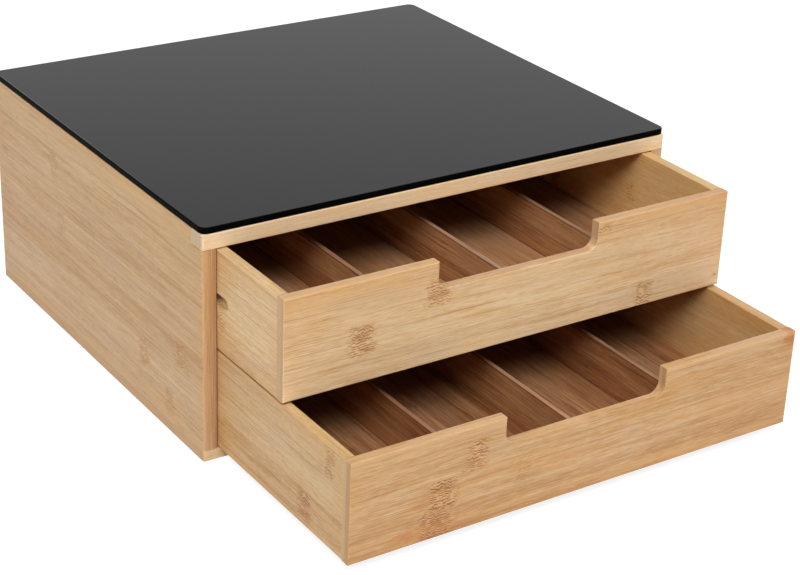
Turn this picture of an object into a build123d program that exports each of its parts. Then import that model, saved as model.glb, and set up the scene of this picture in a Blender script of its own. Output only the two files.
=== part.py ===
from build123d import *
import os

# A two-storey drawer box for coffee capsules: a bamboo case under a black glass plate, with a drawer
# hung on side runners above a drawer that slides on the case's bottom board. Both stand pulled out.
# Millimetres, +Z up, fronts towards -Y. The origin is the middle of the case's underside.

# Case: outside sizes, then its boards
case_width = 340.0
case_depth = 300.0
case_height = 148.2
side_thick = 9.5
bottom_thick = 7.5
rail_height = 10.0
front_rail_depth = 12.5
back_thick = 6.0
top_panel_thick = 5.0
rebate_width = 4.5
back_rail_rebate = 3.0
panel_gap = 0.25
case_corner = 2.0
ease = 0.8

# Glass plate on the case, and the clear dots that stick it down
glass_thick = 4.0
glass_gap = 0.3
glass_corner = 5.0
glass_ease = 0.6
dot_radius = 5.0
dot_pocket = 1.0
dot_spacing_x = 250.0
dot_spacing_y = 200.0

# Runners of the upper drawer, let into the case's sides, and the grooves that ride on them
runner_height = 6.2
runner_root = 2.2
runner_reach = 3.8
runner_end_gap = 2.0
groove_height = 7.0
groove_depth = 3.6
groove_start = 63.0
groove_start_gap = 1.0
groove_level = 32.8

# Drawers: both have the same size; levels are above the case's underside
drawer_width = 319.8
drawer_depth = 291.0
drawer_height = 64.0
wall_thick = 7.0
upper_level = 73.6
lower_level = 8.0
upper_pull = 75.0
lower_pull = 147.0
notch_width = 115.0
notch_depth = 17.5
notch_corner = 7.0
floor_thick = 4.0
floor_underside = 5.0
floor_groove = 3.0
floor_gap = 0.4
divider_thick = 4.0
divider_height = 30.5
divider_housing = 2.0
divider_ease = 0.6
divider_names = ("left", "centre", "right")

# Dowels, pins, nails and screws, and the play around them in their holes
hole_gap = 0.05
dowel_radius = 1.5
dowel_length = 16.0
dowel_in_face = 4.0
dowel_levels = (18.0, 50.0)
pin_radius = 1.0
pin_length = 20.0
nail_radius = 0.6
nail_length = 18.0
nail_head_radius = 1.3
nail_head_thick = 0.5
nail_levels = (26.0, 73.0, 120.0)
screw_sink = 0.4
screw_tip = 2.5
cross_width = 0.7
cross_depth = 0.8
case_screw = {"radius": 1.6, "length": 30.0, "head": 3.2}
runner_screw = {"radius": 1.2, "length": 10.5, "head": 2.3}
case_screw_inset = 30.0
runner_screw_inset = 15.0

hands = {"left": -1, "right": 1}
case_front = -case_depth / 2
case_back = case_depth / 2
case_side = case_width / 2
side_inside = case_side - side_thick
side_middle = case_side - side_thick / 2
rail_underside = case_height - rail_height
back_panel_front = case_back - back_thick
front_rail_back = case_front + front_rail_depth
top_panel_level = case_height - top_panel_thick
top_panel_front = front_rail_back - rebate_width + panel_gap
top_panel_back = back_panel_front + back_rail_rebate - panel_gap
back_pin_x = (case_side + side_inside + rebate_width) / 2
back_pin_y = case_back - back_thick / 2
rebate_middle = side_inside + rebate_width / 2
panel_half_width = side_inside + rebate_width - panel_gap

runner_front = case_front + groove_start + groove_start_gap
runner_back = back_panel_front - runner_end_gap
runner_level = upper_level + groove_level
runner_face = side_inside - runner_reach

drawer_side = drawer_width / 2
drawer_inside = drawer_side - wall_thick
wall_middle = drawer_side - wall_thick / 2
floor_surface = floor_underside + floor_thick
floor_groove_middle = drawer_inside + floor_groove / 2
floor_half_width = drawer_inside + floor_groove - floor_gap
divider_pitch = (2 * drawer_inside + divider_thick) / (len(divider_names) + 1)
divider_places = {name: (count - 1) * divider_pitch for count, name in enumerate(divider_names)}

standing = (Align.CENTER, Align.CENTER, Align.MIN)
sunk = (Align.CENTER, Align.CENTER, Align.MAX)
from_front = (Align.CENTER, Align.MIN, Align.MIN)
from_back = (Align.CENTER, Align.MAX, Align.MIN)


def save(piece, node):
    piece.label = node
    export_step(piece, f"parts/{node}.step")


def facing(x, y, z, direction):
    """A plane through a point, its normal along the direction."""
    return Plane(origin=(x, y, z), z_dir=direction)


def turned(*points):
    """A solid of revolution about Z, from the corners of half its section."""
    with BuildPart() as shape:
        with BuildSketch(Plane.XZ):
            with BuildLine():
                Polyline(*points, close=True)
            make_face()
        revolve(axis=Axis.Z)
    return shape.part


def screw(size):
    """A countersunk cross-head screw pointing down from the origin."""
    head = size["head"]
    shank = size["radius"]
    length = size["length"]
    outline = (0, 0), (head, 0), (shank, shank - head), (shank, screw_tip - length), (0, -length)
    with BuildPart() as shape:
        add(turned(*outline))
        for turn in (0, 90):
            Box(1.2 * head, cross_width, cross_depth, rotation=(0, 0, turn), align=sunk, mode=Mode.SUBTRACT)
    return shape.part


def screw_hole(size):
    """The hole for that screw, open above its head."""
    head = size["head"] + hole_gap
    shank = size["radius"] + hole_gap
    depth = size["length"] + hole_gap
    return turned((0, 2 * screw_sink), (head, 2 * screw_sink), (head, 0), (shank, shank - head),
                  (shank, -depth), (0, -depth))


def nail(play=0.0):
    """A flat-headed nail pointing down from the origin or, with play, the hole for it."""
    with BuildPart() as shape:
        Cylinder(nail_head_radius + play, nail_head_thick + play, align=sunk)
        Cylinder(nail_radius + play, nail_length + play, align=sunk)
    return shape.part


def runner_outline(x, height, front, back):
    """Side view of a runner or its groove, round at the front and square at the back."""
    nose = height / 2
    with BuildSketch(Plane.YZ.offset(x)) as outline:
        with BuildLine():
            Polyline(
                (front + nose, runner_level + nose),
                (back, runner_level + nose),
                (back, runner_level - nose),
                (front + nose, runner_level - nose),
            )
            ThreePointArc(
                (front + nose, runner_level - nose),
                (front, runner_level),
                (front + nose, runner_level + nose),
            )
        make_face()
    return outline.sketch


os.makedirs("parts", exist_ok=True)

bottom_screw_points = [
    facing(hand * side_middle, y, screw_sink, (0, 0, -1))
    for hand in hands.values()
    for y in (case_front + case_screw_inset, 0, case_back - case_screw_inset)
]
runner_screw_points = [
    facing(hand * (runner_face + screw_sink), y, runner_level, (-hand, 0, 0))
    for hand in hands.values()
    for y in (
        runner_front + runner_screw_inset,
        (runner_front + runner_back) / 2,
        runner_back - runner_screw_inset,
    )
]
pin_points = [
    (hand * x, y, case_height)
    for hand in hands.values()
    for x, y in ((side_middle, front_rail_back - front_rail_depth / 2), (back_pin_x, back_pin_y))
]
nail_points = [
    facing(hand * rebate_middle, case_back, z, (0, 1, 0))
    for hand in hands.values()
    for z in nail_levels
]
dot_corners = [(a * dot_spacing_x / 2, b * dot_spacing_y / 2) for a in (-1, 1) for b in (-1, 1)]
dot_points = [(x, y, case_height - dot_pocket) for x, y in ((0, 0), *dot_corners)]

# Bottom board, with countersunk holes in its underside
with BuildPart() as bottom_board:
    with BuildSketch():
        RectangleRounded(case_width, case_depth, case_corner)
    extrude(amount=bottom_thick)
    fillet(edges().filter_by(Axis.Z, reverse=True), ease)
    with Locations(*bottom_screw_points):
        add(screw_hole(case_screw), mode=Mode.SUBTRACT)
save(bottom_board.part, "bottom_board")

# Side panels, notched for the two top rails and rebated for the top and back panels
for name, hand in hands.items():
    with BuildPart() as side_panel:
        with Locations((hand * side_middle, 0, bottom_thick)):
            Box(side_thick, case_depth, case_height - bottom_thick, align=standing)
        uprights = edges().filter_by(Axis.Z).sort_by(Axis.X, reverse=hand > 0)
        fillet(uprights[:2], case_corner)
        fillet(uprights[2:].sort_by(Axis.Y)[0], ease)
        with Locations((hand * side_middle, case_front, rail_underside)):
            Box(side_thick, front_rail_depth, rail_height, align=from_front, mode=Mode.SUBTRACT)
        with Locations((hand * side_middle, case_back, rail_underside)):
            Box(side_thick, back_thick, rail_height, align=from_back, mode=Mode.SUBTRACT)
        with Locations((hand * rebate_middle, 0, case_height)):
            Box(rebate_width, case_depth, top_panel_thick, align=sunk, mode=Mode.SUBTRACT)
        with Locations((hand * rebate_middle, case_back, bottom_thick)):
            Box(rebate_width, back_thick, case_height, align=from_back, mode=Mode.SUBTRACT)
        runner_seat = runner_outline(hand * side_inside, runner_height, runner_front, runner_back)
        extrude(runner_seat, amount=runner_root, dir=(hand, 0, 0), mode=Mode.SUBTRACT)
        with Locations(*bottom_screw_points):
            add(screw_hole(case_screw), mode=Mode.SUBTRACT)
        with Locations(*runner_screw_points):
            add(screw_hole(runner_screw), mode=Mode.SUBTRACT)
        with Locations(*pin_points):
            Cylinder(pin_radius + hole_gap, pin_length + hole_gap, align=sunk, mode=Mode.SUBTRACT)
        with Locations(*nail_points):
            add(nail(hole_gap), mode=Mode.SUBTRACT)
    save(side_panel.part, f"{name}_side_panel")

# Front rail: its ends fill the side panels' front notches and its ledge carries the top panel
with BuildPart() as top_front_rail:
    with BuildSketch(Plane.XY.offset(rail_underside)):
        with Locations((0, case_front)):
            Rectangle(case_width, front_rail_depth, align=(Align.CENTER, Align.MIN))
        fillet(vertices().group_by(Axis.Y)[0], case_corner)
    extrude(amount=rail_height)
    rail_outline = edges().filter_by(Axis.Z, reverse=True)
    fillet(rail_outline.filter_by_position(Axis.Y, case_front, case_front + case_corner), ease)
    with Locations((0, front_rail_back, top_panel_level)):
        Box(2 * (side_inside + rebate_width), rebate_width, top_panel_thick, align=from_back,
            mode=Mode.SUBTRACT)
    with Locations(*pin_points):
        Cylinder(pin_radius + hole_gap, pin_length, align=sunk, mode=Mode.SUBTRACT)
save(top_front_rail.part, "top_front_rail")

# Back rail, as thick as the back panel under it
with BuildPart() as top_back_rail:
    with BuildSketch(Plane.XY.offset(rail_underside)):
        with Locations((0, case_back)):
            Rectangle(case_width, back_thick, align=(Align.CENTER, Align.MAX))
        fillet(vertices().group_by(Axis.Y)[-1], case_corner)
    extrude(amount=rail_height)
    with Locations((0, back_panel_front, top_panel_level)):
        Box(2 * (side_inside + rebate_width), back_rail_rebate, top_panel_thick, align=from_front,
            mode=Mode.SUBTRACT)
    with Locations(*pin_points):
        Cylinder(pin_radius + hole_gap, pin_length, align=sunk, mode=Mode.SUBTRACT)
save(top_back_rail.part, "top_back_rail")

# Thin panel that lies in the rebates of the rails and side panels, under the glass
with BuildPart() as top_panel:
    with Locations((0, top_panel_front, top_panel_level)):
        Box(2 * panel_half_width, top_panel_back - top_panel_front, top_panel_thick, align=from_front)
    with Locations(*dot_points):
        Cylinder(dot_radius + hole_gap, dot_pocket, align=standing, mode=Mode.SUBTRACT)
save(top_panel.part, "top_panel")

# Back panel, in the side panels' rebates
with BuildPart() as back_panel:
    with Locations((0, case_back, bottom_thick)):
        Box(2 * panel_half_width, back_thick, rail_underside - bottom_thick, align=from_back)
    with Locations(*nail_points):
        add(nail(hole_gap), mode=Mode.SUBTRACT)
save(back_panel.part, "back_panel")

# Glass plate and the dots under it
with BuildPart() as glass_top:
    with BuildSketch(Plane.XY.offset(case_height + glass_gap)):
        RectangleRounded(case_width, case_depth, glass_corner)
    extrude(amount=glass_thick)
    fillet(edges().filter_by(Axis.Z, reverse=True), glass_ease)
save(glass_top.part, "glass_top")

with BuildPart() as glass_dots:
    with Locations(*dot_points):
        Cylinder(dot_radius, dot_pocket + glass_gap, align=standing)
save(glass_dots.part, "glass_dots")

# Runners of the upper drawer
for name, hand in hands.items():
    with BuildPart() as runner:
        root_side = hand * (side_inside + runner_root)
        runner_side_view = runner_outline(root_side, runner_height, runner_front, runner_back)
        extrude(runner_side_view, amount=runner_root + runner_reach, dir=(-hand, 0, 0))
        with Locations(*runner_screw_points):
            add(screw_hole(runner_screw), mode=Mode.SUBTRACT)
    save(runner.part, f"{name}_runner")

# Fasteners of the case
with BuildPart() as bottom_screws:
    with Locations(*bottom_screw_points):
        add(screw(case_screw))
save(bottom_screws.part, "bottom_screws")

with BuildPart() as runner_screws:
    with Locations(*runner_screw_points):
        add(screw(runner_screw))
save(runner_screws.part, "runner_screws")

with BuildPart() as rail_pins:
    with Locations(*pin_points):
        Cylinder(pin_radius, pin_length, align=sunk)
save(rail_pins.part, "rail_pins")

with BuildPart() as back_nails:
    with Locations(*nail_points):
        add(nail())
save(back_nails.part, "back_nails")

# The two drawers; only the upper one hangs on the runners, so only its sides are grooved
storeys = {"upper": (upper_level, upper_pull), "lower": (lower_level, lower_pull)}
for storey, (level, pull) in storeys.items():
    front = case_front - pull
    back = front + drawer_depth
    front_inside = front + wall_thick
    back_inside = back - wall_thick
    inside_depth = back_inside - front_inside
    brim = level + drawer_height
    notch_level = brim - notch_depth
    groove_front = front + groove_start
    floor_level = level + floor_surface
    front_dowel_points = [
        facing(hand * wall_middle, front_inside - dowel_in_face + dowel_length / 2, level + z, (0, 1, 0))
        for hand in hands.values()
        for z in dowel_levels
    ]
    back_dowel_points = [
        facing(hand * (drawer_inside + dowel_in_face - dowel_length / 2), back - wall_thick / 2, level + z,
               (1, 0, 0))
        for hand in hands.values()
        for z in dowel_levels
    ]

    # Front board, with a finger notch in its top edge; it covers the ends of the sides
    with BuildPart() as front_board:
        with BuildSketch(Plane.XZ.offset(-front_inside)):
            with Locations((0, level)):
                Rectangle(drawer_width, drawer_height, align=(Align.CENTER, Align.MIN))
            with Locations((0, brim)):
                Rectangle(notch_width, notch_depth, align=(Align.CENTER, Align.MAX), mode=Mode.SUBTRACT)
            notch_vertices = vertices().filter_by_position(Axis.Y, notch_level - ease, notch_level + ease)
            fillet(notch_vertices, notch_corner)
        extrude(amount=wall_thick)
        fillet(faces().sort_by(Axis.Y)[0].edges(), ease)
        inner_edges = faces().sort_by(Axis.Y)[-1].edges()
        fillet(inner_edges.filter_by_position(Axis.Z, level + drawer_height / 2 + ease, brim), ease)
        with Locations((0, front_inside, level + floor_underside)):
            Box(2 * (drawer_inside + floor_groove), floor_groove, floor_thick, align=from_back,
                mode=Mode.SUBTRACT)
        with Locations(*[(x, front_inside, floor_level) for x in divider_places.values()]):
            Box(divider_thick, divider_housing, divider_height, align=from_back, mode=Mode.SUBTRACT)
        with Locations(*front_dowel_points):
            Cylinder(dowel_radius + hole_gap, dowel_length + 2 * hole_gap, mode=Mode.SUBTRACT)
    save(front_board.part, f"{storey}_drawer_front")

    for name, hand in hands.items():
        with BuildPart() as side_board:
            with Locations((hand * wall_middle, front_inside, level)):
                Box(wall_thick, drawer_depth - wall_thick, drawer_height, align=from_front)
            long_edges = edges().filter_by(Axis.Y).group_by(Axis.Z)
            fillet(long_edges[-1] + long_edges[0].sort_by(Axis.X, reverse=hand > 0)[:1], ease)
            with Locations((hand * floor_groove_middle, front_inside, level + floor_underside)):
                Box(floor_groove, inside_depth + floor_groove, floor_thick, align=from_front,
                    mode=Mode.SUBTRACT)
            if storey == "upper":
                running_groove = runner_outline(hand * drawer_side, groove_height, groove_front, back)
                extrude(running_groove, amount=groove_depth, dir=(-hand, 0, 0), mode=Mode.SUBTRACT)
            with Locations(*front_dowel_points, *back_dowel_points):
                Cylinder(dowel_radius + hole_gap, dowel_length + 2 * hole_gap, mode=Mode.SUBTRACT)
        save(side_board.part, f"{storey}_drawer_{name}_side")

    # Back board, between the sides
    with BuildPart() as back_board:
        with Locations((0, back, level)):
            Box(2 * drawer_inside, wall_thick, drawer_height, align=from_back)
        fillet(edges().filter_by(Axis.X).group_by(Axis.Z)[-1], ease)
        with Locations((0, back_inside, level + floor_underside)):
            Box(2 * drawer_inside, floor_groove, floor_thick, align=from_front, mode=Mode.SUBTRACT)
        with Locations(*[(x, back_inside, floor_level) for x in divider_places.values()]):
            Box(divider_thick, divider_housing, divider_height, align=from_front, mode=Mode.SUBTRACT)
        with Locations(*back_dowel_points):
            Cylinder(dowel_radius + hole_gap, dowel_length + 2 * hole_gap, mode=Mode.SUBTRACT)
    save(back_board.part, f"{storey}_drawer_back")

    # Floor, in grooves all round
    with BuildPart() as floor_board:
        with Locations((0, front_inside - floor_groove + floor_gap, level + floor_underside)):
            Box(2 * floor_half_width, inside_depth + 2 * (floor_groove - floor_gap), floor_thick,
                align=from_front)
    save(floor_board.part, f"{storey}_drawer_floor")

    # Three dividers make four columns
    for name, x in divider_places.items():
        with BuildPart() as divider:
            with Locations((x, front_inside - divider_housing, floor_level)):
                Box(divider_thick, inside_depth + 2 * divider_housing, divider_height, align=from_front)
            fillet(edges().filter_by(Axis.Y).group_by(Axis.Z)[-1], divider_ease)
        save(divider.part, f"{storey}_drawer_divider_{name}")

    with BuildPart() as dowels:
        with Locations(*front_dowel_points, *back_dowel_points):
            Cylinder(dowel_radius, dowel_length)
    save(dowels.part, f"{storey}_drawer_dowels")
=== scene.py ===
import math
import random
from types import SimpleNamespace

import bmesh
import bpy
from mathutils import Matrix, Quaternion, Vector


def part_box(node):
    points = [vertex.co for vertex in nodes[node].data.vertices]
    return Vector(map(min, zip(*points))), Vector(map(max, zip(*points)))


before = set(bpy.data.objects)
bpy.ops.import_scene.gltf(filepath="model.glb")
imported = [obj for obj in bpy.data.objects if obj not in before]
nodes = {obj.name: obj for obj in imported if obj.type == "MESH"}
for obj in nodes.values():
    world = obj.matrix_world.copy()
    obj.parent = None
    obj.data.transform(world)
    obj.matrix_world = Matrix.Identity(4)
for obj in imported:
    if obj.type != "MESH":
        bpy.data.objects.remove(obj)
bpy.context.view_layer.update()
millimetres = 1000.0  # in a metre
print("frame loaded with", len(nodes), "pieces")


def paint(red, green, blue):
    # a colour as a paint program shows it, 0 to 255, turned into the linear values that shaders take
    def linear(value):
        part = value / 255
        return part / 12.92 if part <= 0.04045 else ((part + 0.055) / 1.055) ** 2.4
    return (linear(red), linear(green), linear(blue), 1.0)


def solid(red, green, blue):
    # a colour or tint that is linear already
    return (red, green, blue, 1.0)


# A socket that can be used in sums: each sign adds its own Math node
class Wire:
    def __init__(self, tree, socket=None):
        self.tree = tree
        self.socket = socket

    def node(self, kind, settings=None, sockets=None, out=0):
        made = self.tree.nodes.new(kind)
        for name, value in (settings or {}).items():
            if name == "stops":
                self.setStops(made.color_ramp, value)
            else:
                setattr(made, name, value)
        for name, value in (sockets or {}).items():
            if isinstance(value, Wire):
                self.tree.links.new(value.socket, made.inputs[name])
            else:
                made.inputs[name].default_value = value
        return Wire(self.tree, made.outputs[out] if len(made.outputs) else None)

    def setStops(self, ramp, stops):
        while len(ramp.elements) < len(stops):
            ramp.elements.new(1.0)
        for element, (place, colour) in zip(ramp.elements, stops):
            element.position = place
            element.color = colour

    def maths(self, operation, *values):
        return self.node("ShaderNodeMath", {"operation": operation}, dict(enumerate(values)))

    def __add__(self, other):
        return self.maths("ADD", self, other)

    def __radd__(self, other):
        return self.maths("ADD", other, self)

    def __sub__(self, other):
        return self.maths("SUBTRACT", self, other)

    def __rsub__(self, other):
        return self.maths("SUBTRACT", other, self)

    def __mul__(self, other):
        return self.maths("MULTIPLY", self, other)

    def __rmul__(self, other):
        return self.maths("MULTIPLY", other, self)

    def __truediv__(self, other):
        return self.maths("DIVIDE", self, other)

    def __abs__(self):
        return self.maths("ABSOLUTE", self)

    def floor(self):
        return self.maths("FLOOR", self)

    def least(self, other):
        return self.maths("MINIMUM", self, other)

    def most(self, other):
        return self.maths("MAXIMUM", self, other)

    def smooth(self, start, end):
        # 0 at start and 1 at end, with a soft step between them
        return self.node("ShaderNodeMapRange", {"interpolation_type": "SMOOTHSTEP"},
                         {"Value": self, "From Min": start, "From Max": end})

    def mix(self, first, second):
        # this wire is the share of the second colour; 6, 7 and 2 are the node's colour sockets
        return self.node("ShaderNodeMix", {"data_type": "RGBA"}, {0: self, 6: first, 7: second}, out=2)

    def tinted(self, tint):
        # this colour times another, channel by channel
        return self.node("ShaderNodeMix", {"data_type": "RGBA", "blend_type": "MULTIPLY"},
                         {0: 1.0, 6: self, 7: tint}, out=2)

    def ramp(self, stops):
        return self.node("ShaderNodeValToRGB", {"stops": stops}, {"Fac": self})

    def parts(self):
        made = self.node("ShaderNodeSeparateXYZ", None, {0: self}).socket.node
        return [Wire(self.tree, socket) for socket in made.outputs]

    def place(self):
        # where a point of the piece is, in millimetres
        coordinates = self.node("ShaderNodeTexCoord", out="Object")
        return self.node("ShaderNodeVectorMath", {"operation": "SCALE"},
                         {0: coordinates, "Scale": millimetres}).parts()

    def facing(self):
        # which way the surface faces: 1 or -1 for an axis that it looks along
        return self.node("ShaderNodeTexCoord", out="Normal").parts()

    def noise(self, x, y, z, detail=2.0, roughness=0.5, distortion=0.0):
        place = self.node("ShaderNodeCombineXYZ", None, {0: x, 1: y, 2: z})
        return self.node("ShaderNodeTexNoise", None, {
            "Vector": place, "Scale": 1.0, "Detail": detail, "Roughness": roughness,
            "Distortion": distortion})

    def speckle(self, size, detail=2.0):
        # noise as long as it is wide
        x, y, z = self.place()
        return self.noise(x / size, y / size, z / size, detail=detail)

    def seenRays(self):
        # 1 for what the eye sees, straight or in metal and glass, and 0 for light on its way
        rays = self.node("ShaderNodeLightPath").socket.node.outputs
        kinds = ("Is Camera Ray", "Is Glossy Ray", "Is Transmission Ray")
        camera, glossy, through = (Wire(self.tree, rays[kind]) for kind in kinds)
        return camera.most(glossy).most(through)


def startMaterial(name):
    material = bpy.data.materials.new(name)
    material.use_nodes = True
    material.node_tree.nodes.clear()
    return material, Wire(material.node_tree)


def finishMaterial(wire, shader):
    wire.node("ShaderNodeOutputMaterial", None, {"Surface": shader})


def dress(node, material):
    for slot in nodes[node].material_slots:
        slot.material = material


def boxOf(node):
    # a piece's lowest and highest place along each axis, in millimetres
    low, high = (Vector(corner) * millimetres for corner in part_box(node))
    return dict(zip("XYZ", low)), dict(zip("XYZ", high))


# Bamboo boards. Lengths are in millimetres: grain sizes are length, width and strength
paleBamboo = {
    "strip": 19.6, "stripTone": 0.22, "seam": 0.16, "seamWidth": 0.3,
    "drift": 3.0, "waves": 1.3, "ripples": 0.65,
    "bands": (150.0, 5.5, 0.62), "clouds": (26.0, 6.0, 0.36), "streaks": (52.0, 1.4, 0.8),
    "fibres": (11.0, 0.72, 0.74), "flecks": (3.8, 0.52, 0.75), "dashes": (11.0, 0.5, 0.34),
    "lines": (110.0, 0.62, 0.5), "soak": 0.35,
    "dark": paint(188, 138, 79), "middle": paint(209, 169, 120), "light": paint(222, 193, 153),
    "fibre": paint(156, 102, 52), "warm": paint(216, 162, 90), "cool": paint(206, 175, 141),
    "knot": paint(150, 90, 42), "knotLight": paint(232, 198, 150), "stain": paint(186, 110, 48),
    "end": paint(212, 176, 134), "endLine": paint(186, 144, 102),
    # the edge colour is a painted highlight along the eased edges, partly wear
    "edgeWearAndShading": paint(222, 193, 153), "edgeShadingWidth": 1.1, "edgeShadingShare": 0.16, "brim": None,
    "roughness": 0.46, "bump": 0.35, "coat": 0.12,
}
calmBamboo = dict(
    paleBamboo, bands=(150.0, 5.5, 0.4), streaks=(52.0, 1.4, 0.42), fibres=(11.0, 0.72, 0.42),
    flecks=(3.8, 0.52, 0.45), lines=(110.0, 0.62, 0.25))
palestBamboo = dict(
    calmBamboo, dark=paint(202, 162, 116), middle=paint(220, 188, 150), light=paint(228, 204, 172))
sideBamboo = dict(
    paleBamboo, bands=(170.0, 5.5, 1.0), streaks=(60.0, 1.8, 0.95), fibres=(14.0, 0.75, 0.75),
    flecks=(4.5, 0.55, 0.6), stripTone=0.3, knot=paint(166, 116, 62),
    dark=paint(190, 144, 92), middle=paint(210, 173, 129), light=paint(220, 193, 158))
brownBamboo = dict(
    paleBamboo, strip=15.0, stripTone=0.4, seam=0.25,
    bands=(170.0, 4.0, 0.8), clouds=(40.0, 6.0, 0.5), streaks=(70.0, 1.3, 1.1),
    fibres=(22.0, 0.6, 0.9), flecks=(6.0, 0.5, 0.5), dashes=(12.0, 0.5, 0.4), lines=(90.0, 0.7, 0.5),
    dark=paint(126, 78, 46), middle=paint(162, 115, 77), light=paint(184, 141, 102),
    fibre=paint(86, 47, 25), warm=paint(168, 106, 62), cool=paint(160, 122, 94),
    knot=paint(104, 60, 32), knotLight=paint(180, 136, 96),
    end=paint(166, 124, 88), endLine=paint(124, 82, 54),
    # here the edge colour is painted shade along the eased edges, partly wear
    edgeWearAndShading=paint(92, 56, 34), edgeShadingWidth=1.0, edgeShadingShare=0.9, roughness=0.5)
dividerBamboo = dict(brownBamboo, brim=paint(168, 138, 120))
linedBamboo = dict(
    paleBamboo, stripTone=0.34, seam=0.4, streaks=(60.0, 1.2, 1.1), flecks=(4.0, 0.55, 0.8),
    lines=(80.0, 0.7, 0.6))
frontBamboo = dict(paleBamboo, fibres=(17.0, 0.72, 0.74), flecks=(6.0, 0.52, 0.66), edgeShadingShare=0.05)

# What all boards share. Sizes are length and width, a step is where something starts and ends to show,
# and a share is how much of its colour is mixed in
grainLook = {
    "driftSize": (130.0, 45.0), "waveSize": (36.0, 11.0), "rippleSize": (9.0, 4.0),
    "raggedSize": (4.0, 2.2), "noiseRoughness": 0.55,
    "seedDepth": 7.3, "seedStrip": 31.0, "stripShift": 700.0,
    "detail": {"bands": 2.0, "clouds": 1.0, "streaks": 3.0, "fibres": 2.0, "flecks": 1.0, "dashes": 1.0},
    "dashStep": (0.6, 0.74), "lineStep": (0.58, 0.7), "lineStart": 40.0,
    "darkStop": 0.12, "middleStop": 0.5, "lightStop": 0.88,
    "warmthSize": (64.0, 15.0), "warmthOfBoard": 0.75, "warmthOfStrip": 0.25,
    "warmStep": (0.52, 0.76), "warmShare": 0.42, "coolStep": (0.26, 0.46), "coolShare": 0.5,
}
stainLook = {"flatness": 1.6, "core": 0.1}
knuckleLook = {
    "wobbleSize": (2.6, 7.0), "brokenSize": (3.0, 1.5), "wobble": 4.4, "waves": 5.0, "pitch": 1.75,
    "threadStep": (0.3, 0.75), "unbrokenStep": (0.36, 0.5), "glintStep": (0.4, 0.8),
    "brokenStep": (0.4, 0.56), "raggedEnds": 15.0, "wavyEnds": 8.0, "raggedSides": 5.0, "raggedWidth": 2.0,
    "endFade": 0.6, "sideStep": (-1.0, 2.0), "patchStep": (0.46, 0.62),
    "warmShare": 0.3, "patchShare": 0.5, "threadShare": 0.95, "glintShare": 0.4,
}
sawnLook = {
    "faceStep": (0.6, 0.9), "plySize": (30.0, 0.6), "plyDetail": 3.0, "plyRoughness": 0.6,
    "plyStep": (0.35, 0.7), "plyShare": 0.8,
    "poreSize": (0.7, 0.55), "poreStep": (0.56, 0.7), "poreShare": 0.3,
}
brimLook = {"faceStep": (0.8, 0.98), "layerSize": (45.0, 1.1), "layerStep": (0.4, 0.6),
            "plainShare": 0.35, "layerShare": 0.65}
edgeWearAndShadingLook = {"edgeShadingStart": 0.15, "edgeShadingRagged": 0.6, "soakDepth": (2.0, 16.0), "soakStep": (0.85, 1.2)}
finishLook = {
    "fibreRelief": 0.5, "streakRelief": 0.3, "dashRelief": 0.35, "lineRelief": 0.4, "seamRelief": 0.6,
    "knuckleRelief": 0.35, "reliefHeight": 0.00012,
    "streakDullness": 0.25, "endDullness": 0.12, "rubbedShine": 0.1, "coatRoughness": 0.3, "specular": 0.35,
}


def grainOf(start, look, board, axes):
    # strips lie side by side across the board, each from another cane
    along, boardAcross = axes[board["grain"]], axes[board["across"]]
    deep = axes[board["deep"]] + board["seed"] * grainLook["seedDepth"]

    def flow(length, width, size, detail=2.0, roughness=0.5):
        return start.noise(length / size[0], width / size[1], deep / size[1], detail, roughness)

    drift = flow(along, boardAcross, grainLook["driftSize"], detail=1.0) - 0.5
    across = boardAcross + drift * look["drift"]
    strip = (across - board["firstStrip"]) / look["strip"]
    stripNumber = strip.floor()
    stripPlace = strip - stripNumber
    stripTone, stripWarmth, stripShift = start.node(
        "ShaderNodeTexWhiteNoise", {"noise_dimensions": "1D"},
        {"W": stripNumber + board["seed"] * grainLook["seedStrip"]}, out="Color").parts()
    run = along + stripShift * grainLook["stripShift"]

    # the fibres wave and ripple a little on their way
    waves = flow(run, across, grainLook["waveSize"], detail=1.0) - 0.5
    ripples = flow(run, across, grainLook["rippleSize"], detail=1.0) - 0.5
    thread = across + waves * look["waves"] + ripples * look["ripples"]
    layers = {name: flow(run, thread, look[name], detail, grainLook["noiseRoughness"])
              for name, detail in grainLook["detail"].items()}
    lineLength, lineWidth = look["lines"][:2]
    lineAcross = (across + waves * look["waves"]) / lineWidth
    lines = start.noise(run / lineLength + grainLook["lineStart"], lineAcross, deep / lineWidth).smooth(
        *grainLook["lineStep"])
    seamEdge = stripPlace.least(1 - stripPlace) * look["strip"]
    return SimpleNamespace(
        flow=flow, along=along, boardAcross=boardAcross, across=across, deep=deep, run=run, waves=waves,
        layers=layers, dashes=layers["dashes"].smooth(*grainLook["dashStep"]), lines=lines,
        seam=1 - seamEdge.smooth(0.0, look["seamWidth"]), stripTone=stripTone, stripWarmth=stripWarmth,
        ragged=flow(run, across, grainLook["raggedSize"]) - 0.5)


def grainColour(look, board, grain):
    tone = (grain.stripTone - 0.5) * look["stripTone"] + (0.5 + board["tone"])
    for name in ("bands", "clouds", "streaks", "fibres", "flecks"):
        tone = tone + (grain.layers[name] - 0.5) * look[name][2]
    colour = tone.ramp([(grainLook["darkStop"], look["dark"]), (grainLook["middleStop"], look["middle"]),
                        (grainLook["lightStop"], look["light"])])
    warmth = (grain.flow(grain.run, grain.across, grainLook["warmthSize"]) * grainLook["warmthOfBoard"]
              + grain.stripWarmth * grainLook["warmthOfStrip"])
    colour = (warmth.smooth(*grainLook["warmStep"]) * grainLook["warmShare"]).mix(colour, look["warm"])
    cool = (1 - warmth.smooth(*grainLook["coolStep"])) * grainLook["coolShare"]
    colour = cool.mix(colour, look["cool"])
    colour = (grain.dashes * look["dashes"][2]).mix(colour, look["fibre"])
    colour = (grain.lines * look["lines"][2]).mix(colour, look["fibre"])
    return (grain.seam * look["seam"]).mix(colour, look["fibre"])


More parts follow.
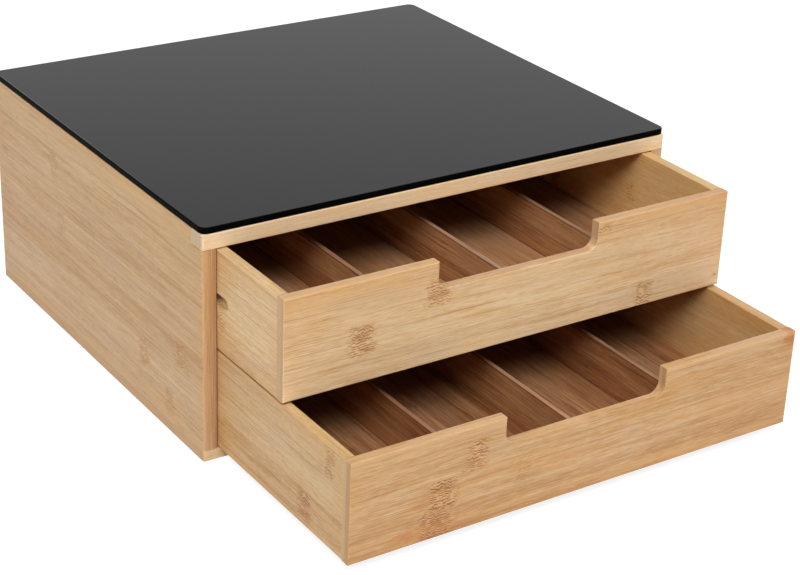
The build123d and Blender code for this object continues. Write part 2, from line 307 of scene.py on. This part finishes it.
def withStains(colour, look, board, grain):
    for alongPlace, acrossPlace, size, strength in board["stains"]:
        away = (abs(grain.along - alongPlace) + abs(grain.across - acrossPlace) * stainLook["flatness"]
                + (grain.ragged + grain.layers["clouds"] - 0.5) * size)
        spot = (1 - away.smooth(stainLook["core"] * size, size)) * strength
        colour = spot.mix(colour, look["stain"])
    return colour


def knuckleSpots(look, board, grain):
    # where a strip has the knuckle of its cane, which ends raggedly along it and stops at its sides
    spots = None
    for alongPlace, acrossPlace, halfLength, strength, *halfWidth in board["knots"]:
        row = math.floor((acrossPlace - board["firstStrip"]) / look["strip"])
        rowStart = board["firstStrip"] + row * look["strip"]
        reach = halfLength - abs(grain.along - alongPlace + grain.ragged * knuckleLook["raggedEnds"]
                                 + grain.waves * knuckleLook["wavyEnds"])
        side = ((grain.across - rowStart).least(rowStart + look["strip"] - grain.across)
                + grain.ragged * knuckleLook["raggedSides"])
        if halfWidth:
            side = side.least(halfWidth[0] - abs(grain.across - acrossPlace)
                              + grain.ragged * knuckleLook["raggedWidth"])
        spot = (reach.smooth(0.0, knuckleLook["endFade"] * halfLength)
                * side.smooth(*knuckleLook["sideStep"]) * strength)
        spots = spot if spots is None else spots.most(spot)
    return spots


def withKnuckles(colour, spots, look, grain):
    # short wavy threads, stacked across the strip, with paler glints between them
    wobble = grain.flow(grain.run, grain.across, knuckleLook["wobbleSize"]) - 0.5
    broken = grain.flow(grain.run, grain.across, knuckleLook["brokenSize"], detail=1.0)
    wavyAcross = grain.across + wobble * knuckleLook["wobble"] + grain.waves * knuckleLook["waves"]
    layer = wavyAcross / knuckleLook["pitch"]
    layer = abs(layer - layer.floor() - 0.5) * 2
    threads = layer.smooth(*knuckleLook["threadStep"]) * broken.smooth(*knuckleLook["unbrokenStep"])
    glints = (1 - layer).smooth(*knuckleLook["glintStep"]) * (1 - broken).smooth(*knuckleLook["brokenStep"])
    patches = grain.layers["clouds"].smooth(*knuckleLook["patchStep"])
    colour = (spots * knuckleLook["warmShare"]).mix(colour, look["warm"])
    colour = (spots * patches * knuckleLook["patchShare"]).mix(colour, look["knot"])
    colour = (spots * threads * knuckleLook["threadShare"]).mix(colour, look["knot"])
    colour = (spots * glints * knuckleLook["glintShare"]).mix(colour, look["knotLight"])
    return colour, spots * threads


def sawnColour(start, look, board, grain, axes, low, high):
    # a board's end shows its plies as lines, and its pores; plies leaned towards one face darken the end
    # there, which on the drawer fronts is painted shade of the eased front edge
    axis = board["deep"]
    middle, thickness = (low[axis] + high[axis]) / 2, high[axis] - low[axis]
    depth = (axes[axis] - middle) / thickness - board["plyAndShadeTurn"]
    plyWidth, plyThickness = sawnLook["plySize"]
    # leaning the plies darkens the end towards one face: painted shade of the eased front edge on the
    # drawer fronts
    plies = start.noise(grain.across / plyWidth, grain.deep / plyThickness, 0.0, sawnLook["plyDetail"],
                        sawnLook["plyRoughness"]) + depth * board["plyAndShadeLean"]
    poreWidth, poreDepth = sawnLook["poreSize"]
    pores = start.noise(grain.across / poreWidth, grain.deep / poreDepth, grain.along / poreWidth,
                        detail=1.0).smooth(*sawnLook["poreStep"])
    colour = (plies.smooth(*sawnLook["plyStep"]) * sawnLook["plyShare"]).mix(board["end"], board["endLine"])
    return (pores * sawnLook["poreShare"]).mix(colour, look["fibre"])


def wood(name, look, board):
    material, start = startMaterial(name)
    low, high = boxOf(board["node"])
    axes = dict(zip("XYZ", start.place()))
    facing = dict(zip("XYZ", start.facing()))
    grain = grainOf(start, look, board, axes)
    colour = withStains(grainColour(look, board, grain), look, board, grain)
    streaks = grain.layers["streaks"]
    relief = (grain.layers["fibres"] * finishLook["fibreRelief"] + streaks * finishLook["streakRelief"]
              - grain.dashes * finishLook["dashRelief"] - grain.lines * finishLook["lineRelief"]
              - grain.seam * finishLook["seamRelief"])
    spots = knuckleSpots(look, board, grain)
    if spots is not None:
        colour, threads = withKnuckles(colour, spots, look, grain)
        relief = relief - threads * finishLook["knuckleRelief"]

    endFace = abs(facing[board["grain"]]).smooth(*sawnLook["faceStep"])
    colour = endFace.mix(colour, sawnColour(start, look, board, grain, axes, low, high))
    rim = abs(facing[board["across"]]).smooth(*brimLook["faceStep"])
    if look["brim"] is not None:
        layerLength, layerDepth = brimLook["layerSize"]
        layers = start.noise(grain.along / layerLength, grain.deep / layerDepth, 0.0)
        share = brimLook["plainShare"] + layers.smooth(*brimLook["layerStep"]) * brimLook["layerShare"]
        colour = (rim * share).mix(colour, look["brim"])

    # the distance to the second nearest face is the distance to an edge: edges have a painted highlight on
    # the pale boards and painted shade on the brown ones, partly wear too, are a little smoother, and have
    # soaked up some oil
    toFaces = [(axes[axis] - low[axis]).least(high[axis] - axes[axis]) for axis in "XYZ"]
    nearer, further = toFaces[0].least(toFaces[1]), toFaces[0].most(toFaces[1])
    edge = nearer.most(further.least(toFaces[2]))
    edgeWearAndShading = ((1 - edge.smooth(edgeWearAndShadingLook["edgeShadingStart"], look["edgeShadingWidth"]))
              * (look["edgeShadingShare"] + grain.ragged * edgeWearAndShadingLook["edgeShadingRagged"])).most(0.0)
    soaked = ((1 - edge.smooth(*edgeWearAndShadingLook["soakDepth"])) * (1 - endFace)
              * (grain.layers["clouds"] + grain.layers["bands"]).smooth(*edgeWearAndShadingLook["soakStep"]))
    colour = (soaked * board["soak"]).mix(colour, look["warm"])
    colour = edgeWearAndShading.mix(colour, look["edgeWearAndShading"])

    # painted light and shade, partly the board's own colour: colour multipliers from its lower or left edge
    # to its upper or right one, then others for its sawn ends and long edges, set to how light or dark each
    # face shows under the lamps
    axis = board["across"]
    rise = (grain.boardAcross - low[axis]) / (high[axis] - low[axis])
    tint = rise.mix(solid(*board["lowTint"]), solid(*board["highTint"]))
    if "endShadingTint" in board:
        tint = endFace.mix(tint, solid(*board["endShadingTint"]))
    if "rimShadingTint" in board:
        tint = rim.mix(tint, solid(*board["rimShadingTint"]))

    height = start.node("ShaderNodeBump", None, {
        "Strength": look["bump"], "Distance": finishLook["reliefHeight"], "Height": relief})
    roughness = (look["roughness"] + (streaks - 0.5) * finishLook["streakDullness"]
                 + endFace * finishLook["endDullness"] - edgeWearAndShading * finishLook["rubbedShine"])
    shader = start.node("ShaderNodeBsdfPrincipled", None, {
        "Base Color": colour.tinted(tint), "Roughness": roughness, "Normal": height,
        "Coat Weight": look["coat"], "Coat Roughness": finishLook["coatRoughness"],
        "Specular IOR Level": finishLook["specular"]})
    finishMaterial(start, shader)
    return material


# The boards. A knot is its place along and across, half its length, its strength, and half its width
# where it doesn't fill its strip. A stain is its place along and across, its size and its strength.
# Each board's colour multipliers are painted light and shade, partly its own colour, set to how light or
# dark its
# faces show under the lamps: the low one is for a board's lower or left edge, the high one for the other
# one and the plain one for both, the end one for its sawn ends and the rim one for its long edges. The ply
# lean and turn make an end darker towards one face, and say where; on the drawer fronts this darker band is
# painted shade of the eased front edge
orangeEnd = {"end": paint(210, 170, 132), "endLine": paint(175, 128, 88)}
greyEnd = {"end": paint(210, 175, 133), "endLine": paint(190, 151, 108)}
# on the drawer fronts the leaned ply colour is painted shade of the eased front edge
upperEnd = {"end": paint(206, 167, 128), "endLine": paint(195, 158, 114), "endShadingTint": (0.97, 0.97, 0.94),
            "plyAndShadeLean": -2.4, "plyAndShadeTurn": -0.18}
lowerEnd = {"end": paint(197, 162, 118), "endLine": paint(180, 137, 89), "endShadingTint": (1.04, 1.06, 1.07),
            "plyAndShadeLean": -2.4, "plyAndShadeTurn": 0.08}
railEnd = {"end": paint(192, 167, 135), "endLine": paint(176, 145, 111)}
bottomEnd = {"end": paint(204, 166, 124), "endLine": paint(186, 144, 100)}
boards = {
    "left_side_panel": {
        "look": sideBamboo, "grain": "Y", "across": "Z", "firstStrip": 10.8, **orangeEnd,
        "tone": -0.03, "soak": 0.5, "plyAndShadeLean": 0.35,
        "lowTint": (0.93, 0.92, 0.88), "highTint": (0.9, 0.85, 0.69),
        "knots": [(-73, 45, 10, 0.7), (-123, 66, 10, 0.7), (-106, 20, 7, 0.6), (54.6, 118, 7, 0.5),
                  (47.0, 85, 8, 0.45)],
        "stains": [(150, 118, 60, 0.2), (150, 50, 60, 0.2), (-118, 6, 16, 0.35)]},
    "right_side_panel": {
        "look": sideBamboo, "grain": "Y", "across": "Z", "firstStrip": 3.0, **orangeEnd, "plyAndShadeLean": -0.35},
    "top_front_rail": {
        "look": palestBamboo, "grain": "X", "across": "Z", "firstStrip": 132.0, **railEnd, "knots": [],
        "tint": (1.19, 1.25, 1.3)},
    "top_back_rail": {"grain": "X", "across": "Z", "firstStrip": 132.0, **greyEnd, "knots": []},
    "bottom_board": {
        "grain": "X", "across": "Y", "firstStrip": -148.0, **bottomEnd, "tone": 0.2,
        "rimShadingTint": (1.1, 1.19, 1.25)},
    "back_panel": {"look": brownBamboo, "grain": "X", "across": "Z", "firstStrip": 5.0},
    "top_panel": {"look": brownBamboo, "grain": "X", "across": "Y", "firstStrip": -146.0},
    "left_runner": {"grain": "Y", "across": "Z", "firstStrip": 90.0, "knots": []},
    "right_runner": {"grain": "Y", "across": "Z", "firstStrip": 92.0, "knots": []},
    # painted light: this front is lighter and bluer towards its lower edge, where the lower drawer keeps
    # light from it, with painted shade on its top and bottom faces
    "upper_drawer_front": {
        "look": frontBamboo, "grain": "X", "across": "Z", "firstStrip": 90.0, **upperEnd, "tone": 0.15,
        "lowTint": (1.24, 1.33, 1.46), "highTint": (0.95, 0.84, 0.69), "rimShadingTint": (0.83, 0.74, 0.67),
        "knots": [(-108.8, 99, 11, 0.8), (-57, 120, 11, 0.7), (97, 80, 9, 0.75), (63, 132.5, 6, 0.7, 3.5)],
        "stains": [(156, 81, 2.2, 0.9), (175, 105, 150, 0.2)]},
    "lower_drawer_front": {
        "look": frontBamboo, "grain": "X", "across": "Z", "firstStrip": 5.0, **lowerEnd, "tone": -0.12,
        "lowTint": (0.92, 0.91, 0.96), "highTint": (0.93, 0.91, 0.88), "rimShadingTint": (0.97, 0.97, 1.03),
        "knots": [(-76.5, 53, 9, 0.9), (-99, 34, 12, 1.0), (-103, 14, 15, 1.0), (-43.5, 33, 6, 0.3)],
        "stains": [(-103, 9, 26, 0.9), (-122, 15, 17, 0.55), (-112, 33, 10, 0.35), (158, 68, 14, 0.9),
                   (175, 40, 140, 0.12)]},
    "upper_drawer_left_side": {
        "look": linedBamboo, "grain": "Y", "across": "Z", "firstStrip": 66.0, "tone": 0.14,
        "tint": (1.04, 1.03, 0.97), "rimShadingTint": (0.93, 0.94, 0.85)},
    "lower_drawer_left_side": {
        "look": linedBamboo, "grain": "Y", "across": "Z", "firstStrip": -7.6, "tone": 0.0,
        "tint": (0.93, 0.9, 0.81), "rimShadingTint": (0.92, 0.97, 0.98),
        "knots": [(-250, 21, 9, 1.0), (-276, 62, 7, 0.7)],
        "stains": [(-255, 17, 9, 0.6), (-246, 30, 6, 0.5)]},
    # painted light: this inner wall is made lighter where the front lamps fall on it
    "upper_drawer_right_side": {
        "look": calmBamboo, "grain": "Y", "across": "Z", "firstStrip": 61.5,
        "tint": (1.14, 1.07, 0.88), "rimShadingTint": (0.93, 0.94, 0.81),
        "knots": [(-141, 106, 3.5, 0.55, 8), (-60, 96, 7, 0.7), (90, 115, 7, 0.6)]},
    "lower_drawer_right_side": {
        "look": calmBamboo, "grain": "Y", "across": "Z", "firstStrip": 0.0,
        "tint": (0.99, 0.92, 0.8), "rimShadingTint": (0.84, 0.86, 0.82)},
    "upper_drawer_floor": {
        "look": brownBamboo, "grain": "Y", "across": "X", "firstStrip": -150.0, "tone": 0.16},
    "lower_drawer_floor": {
        "look": brownBamboo, "grain": "Y", "across": "X", "firstStrip": -157.0, "tone": -0.06},
}
storeys = {"upper": {"level": 73.6, "dividerTone": 0.05}, "lower": {"level": 8.0, "dividerTone": -0.08}}
backStrip, dividerStrip = -3.0, 9.0  # where the first strip starts, from the drawer's underside
# painted light and shade: the left divider darker, in the shade of the drawer's left wall, the others
# lighter
dividerShadingTints = {
    "left": {"tint": (0.88, 0.84, 0.76), "rimShadingTint": (0.87, 0.86, 0.8)},
    "centre": {"tint": (1.1, 1.1, 1.04), "rimShadingTint": (1.11, 1.14, 1.12)},
    "right": {"tint": (1.08, 1.05, 0.98), "rimShadingTint": (0.84, 0.8, 0.68)},
}
for storey, drawer in storeys.items():
    boards[f"{storey}_drawer_back"] = {
        "grain": "X", "across": "Z", "firstStrip": drawer["level"] + backStrip}
    for place, shadingTints in dividerShadingTints.items():
        boards[f"{storey}_drawer_divider_{place}"] = {
            "look": dividerBamboo, "grain": "Y", "across": "Z",
            "firstStrip": drawer["level"] + dividerStrip, "tone": drawer["dividerTone"], **shadingTints}

# Knuckles at random, for the boards whose own don't show in the photograph
randomKnots = {"seed": 41, "fromEnd": 10, "share": 0.7, "halfLength": (4, 7), "strength": (0.4, 0.8),
               "most": 6}
toneSpread = 0.05


def drawKnots(draws, look, board, low, high):
    knots = []
    grain, across = board["grain"], board["across"]
    for row in range(int((high[across] - low[across]) / look["strip"]) + 1):
        place = draws.uniform(low[grain] + randomKnots["fromEnd"], high[grain] - randomKnots["fromEnd"])
        if draws.random() < randomKnots["share"]:
            halfLength = draws.uniform(*randomKnots["halfLength"])
            strength = draws.uniform(*randomKnots["strength"])
            knots.append((place, board["firstStrip"] + (row + 0.5) * look["strip"], halfLength, strength))
    return knots[:randomKnots["most"]]


draws = random.Random(randomKnots["seed"])
for number, (node, board) in enumerate(boards.items()):
    look = board.get("look", paleBamboo)
    low, high = boxOf(node)
    knots = drawKnots(draws, look, board, low, high)
    usual = {"knots": knots, "tone": draws.uniform(-toneSpread, toneSpread), "soak": look["soak"],
             "end": look["end"], "endLine": look["endLine"], "stains": [], "plyAndShadeLean": 0.0, "plyAndShadeTurn": 0.0}
    board = {**usual, **board, "node": node, "seed": float(number + 1)}
    board["deep"] = (set("XYZ") - {board["grain"], board["across"]}).pop()
    for tint in ("lowTint", "highTint"):
        board.setdefault(tint, board.get("tint", (1.0, 1.0, 1.0)))
    dress(node, wood(f"bamboo_{node}", look, board))
print("bamboo on", len(boards), "boards")

# Round beech: dowels and pins, hidden in the joints. Sizes are width and length
beechLook = {
    "fleckSize": (0.8, 4.0), "ringSize": (2.5, 20.0), "contrast": 0.8,
    "darkStop": 0.2, "dark": paint(186, 140, 100), "lightStop": 0.8, "light": paint(220, 184, 146),
    "roughness": 0.6, "roughSpread": 0.3, "bump": 0.3, "relief": 0.0001,
}


def beechMaterial(look):
    material, start = startMaterial("beech")
    x, y, z = start.place()
    (fleckWidth, fleckLength), (ringWidth, ringLength) = look["fleckSize"], look["ringSize"]
    flecks = start.noise(x / fleckWidth, y / fleckWidth, z / fleckLength, detail=3.0)
    rings = start.noise(x / ringWidth, y / ringWidth, z / ringLength)
    tone = 0.5 + (flecks - 0.5) * look["contrast"] + (rings - 0.5) * look["contrast"]
    height = start.node("ShaderNodeBump", None, {
        "Strength": look["bump"], "Distance": look["relief"], "Height": flecks})
    finishMaterial(start, start.node("ShaderNodeBsdfPrincipled", None, {
        "Base Color": tone.ramp([(look["darkStop"], look["dark"]), (look["lightStop"], look["light"])]),
        "Roughness": look["roughness"] + (flecks - 0.5) * look["roughSpread"], "Normal": height}))
    return material


beech = beechMaterial(beechLook)
for node in ("rail_pins", "upper_drawer_dowels", "lower_drawer_dowels"):
    dress(node, beech)

# The glass plate, black all through: a polished top with faint wiping marks and dust, and ground edges
glassLook = {
    "black": 0.004, "blueness": 1.08, "roughness": 0.04, "level": 0.102, "index": 1.52,
    "wipeLength": 90.0, "wipeSlant": 240.0, "wipeWidth": 28.0, "wipeDepth": 40.0, "wipeSwirl": 0.6,
    "wipeStep": (0.4, 0.75), "marks": 0.05,
    "dustSize": 0.9, "dustStep": (0.78, 0.86), "dust": solid(0.03, 0.03, 0.03), "dustShare": 0.3,
    "dustDullness": 0.2,
    "edgeBlack": 0.0016, "edgeRoughness": 0.28, "edgeSpread": 0.15, "edgeLevel": 0.006, "groundSize": 0.5,
    "topStep": (0.75, 0.98),
}


def glassMaterial(look):
    material, start = startMaterial("blackGlass")
    x, y, z = start.place()
    up = start.facing()[2]
    wiped = start.noise(x / look["wipeLength"] + y / look["wipeSlant"], y / look["wipeWidth"],
                        z / look["wipeDepth"], detail=3.0, distortion=look["wipeSwirl"])
    dust = start.speckle(look["dustSize"], detail=1.0).smooth(*look["dustStep"])
    ground = start.speckle(look["groundSize"], detail=1.0)
    black, deep = look["black"], look["edgeBlack"]
    clean = solid(black, black, black * look["blueness"])
    polished = start.node("ShaderNodeBsdfPrincipled", None, {
        "Base Color": (dust * look["dustShare"]).mix(clean, look["dust"]),
        "Roughness": (look["roughness"] + wiped.smooth(*look["wipeStep"]) * look["marks"]
                      + dust * look["dustDullness"]),
        "IOR": look["index"], "Specular IOR Level": look["level"]})
    edge = start.node("ShaderNodeBsdfPrincipled", None, {
        "Base Color": ground.mix(solid(deep, deep, deep), solid(deep * 2, deep * 2, deep * 2)),
        "Roughness": look["edgeRoughness"] + ground * look["edgeSpread"],
        "IOR": look["index"], "Specular IOR Level": look["edgeLevel"]})
    finishMaterial(start, start.node("ShaderNodeMixShader", None, {
        0: abs(up).smooth(*look["topStep"]), 1: edge, 2: polished}))
    return material


dress("glass_top", glassMaterial(glassLook))

# Clear silicone dots under the glass
siliconeLook = {"cloudSize": 3.0, "clear": solid(0.86, 0.87, 0.88), "cloudy": solid(0.76, 0.77, 0.78),
                "roughness": 0.3, "roughSpread": 0.2, "index": 1.41, "transmission": 0.7}


def siliconeMaterial(look):
    material, start = startMaterial("clearSilicone")
    cloud = start.speckle(look["cloudSize"])
    finishMaterial(start, start.node("ShaderNodeBsdfPrincipled", None, {
        "Base Color": cloud.mix(look["clear"], look["cloudy"]),
        "Roughness": look["roughness"] + cloud * look["roughSpread"],
        "IOR": look["index"], "Transmission Weight": look["transmission"]}))
    return material


dress("glass_dots", siliconeMaterial(siliconeLook))

# Zinc plated screws and nails
zincLook = {"bloomSize": 1.6, "bloomStep": (0.35, 0.7), "bright": paint(205, 206, 204),
            "dull": paint(168, 168, 160), "roughness": 0.28, "roughSpread": 0.25,
            "turnedSize": 0.25, "bump": 0.25, "relief": 0.00004}


def zincMaterial(look):
    material, start = startMaterial("zincPlate")
    bloom = start.speckle(look["bloomSize"], detail=3.0)
    height = start.node("ShaderNodeBump", None, {
        "Strength": look["bump"], "Distance": look["relief"],
        "Height": start.speckle(look["turnedSize"], detail=1.0)})
    finishMaterial(start, start.node("ShaderNodeBsdfPrincipled", None, {
        "Base Color": bloom.smooth(*look["bloomStep"]).mix(look["bright"], look["dull"]),
        "Roughness": look["roughness"] + bloom * look["roughSpread"], "Metallic": 1.0, "Normal": height}))
    return material


zinc = zincMaterial(zincLook)
for node in ("runner_screws", "bottom_screws", "back_nails"):
    dress(node, zinc)
print("beech, glass, silicone and zinc done")

# Camera, from the photograph's own vanishing lines: place in metres, angles in degrees, lens and sensor
# in millimetres
camera = {"place": (-0.6381, -1.0420, 0.6002), "heading": 34.13, "tilt": 25.58, "roll": 2.28,
          "lens": 87.6, "sensor": 36.0, "clip": (0.02, 60.0)}


def makeCamera(view):
    heading, tilt = math.radians(view["heading"]), math.radians(view["tilt"])
    level = math.cos(tilt)
    sight = Vector((math.sin(heading) * level, math.cos(heading) * level, -math.sin(tilt)))
    data = bpy.data.cameras.new("camera")
    data.lens = view["lens"]
    data.sensor_width = view["sensor"]
    data.clip_start, data.clip_end = view["clip"]
    made = bpy.data.objects.new("camera", data)
    made.rotation_mode = "QUATERNION"
    turn = Quaternion((0, 0, 1), math.radians(view["roll"]))
    made.rotation_quaternion = sight.to_track_quat("-Z", "Y") @ turn
    made.location = view["place"]
    bpy.context.scene.collection.objects.link(made)
    bpy.context.scene.camera = made


makeCamera(camera)

# Soft studio light: big square lamps high in front and at the left, others behind, at the right and
# above, all turned to the object. Sizes in metres, power in watts
lamps = {
    "key": {"place": (-1.59, -2.28, 2.88), "size": 1.3, "power": 82.0},
    "left": {"place": (-2.91, -0.95, 2.57), "size": 1.2, "power": 28.0},
    "front": {"place": (0.0, -2.76, 2.90), "size": 1.1, "power": 25.0},
    "frontRight": {"place": (1.96, -2.17, 2.73), "size": 1.2, "power": 24.0},
    "right": {"place": (3.60, 0.44, 1.69), "size": 1.6, "power": 36.0},
    "back": {"place": (0.0, 3.63, 1.69), "size": 1.6, "power": 40.0},
    "above": {"place": (0.0, 0.0, 4.0), "size": 2.4, "power": 8.0},
}


def makeLamp(name, look):
    data = bpy.data.lights.new(name, "AREA")
    data.shape = "SQUARE"
    data.size = look["size"]
    data.energy = look["power"]
    made = bpy.data.objects.new(name, data)
    made.location = look["place"]
    made.rotation_mode = "QUATERNION"
    made.rotation_quaternion = (-Vector(look["place"])).to_track_quat("-Z", "Y")
    bpy.context.scene.collection.objects.link(made)


for name, look in lamps.items():
    makeLamp(name, look)

# The room: white, bright to the eye and dim as a light
room = {"white": 1.0, "shown": 1.0, "light": 0.1}


def makeRoom(look):
    world = bpy.data.worlds.new("studio")
    bpy.context.scene.world = world
    world.use_nodes = True
    world.node_tree.nodes.clear()
    start = Wire(world.node_tree)
    white, shown, light = look["white"], look["shown"], look["light"]
    glow = start.node("ShaderNodeBackground", None, {
        "Color": solid(white, white, white), "Strength": light + start.seenRays() * (shown - light)})
    start.node("ShaderNodeOutputWorld", None, {"Surface": glow})


makeRoom(room)

# Floor: white to the eye with a pale soft shadow, an ordinary white surface to the light
floorLook = {"size": 12.0, "white": 0.86, "shadow": 0.28, "glow": 0.85}


def makeFloor(look):
    mesh = bpy.data.meshes.new("floor")
    shape = bmesh.new()
    bmesh.ops.create_grid(shape, x_segments=1, y_segments=1, size=look["size"] / 2)
    shape.to_mesh(mesh)
    shape.free()
    floor = bpy.data.objects.new("floor", mesh)
    bpy.context.scene.collection.objects.link(floor)
    material, start = startMaterial("floorPaint")
    white, shadow = look["white"], look["shadow"]
    plain = start.node("ShaderNodeBsdfDiffuse", None, {"Color": solid(white, white, white)})
    dim = start.node("ShaderNodeBsdfDiffuse", None, {"Color": solid(shadow, shadow, shadow)})
    glow = start.node("ShaderNodeEmission", None, {"Strength": look["glow"]})
    shown = start.node("ShaderNodeAddShader", None, {0: dim, 1: glow})
    finishMaterial(start, start.node("ShaderNodeMixShader", None, {
        0: start.seenRays(), 1: plain, 2: shown}))
    mesh.materials.append(material)


makeFloor(floorLook)
bpy.context.scene.view_settings.view_transform = "Standard"
print("camera, lamps, room and floor done")
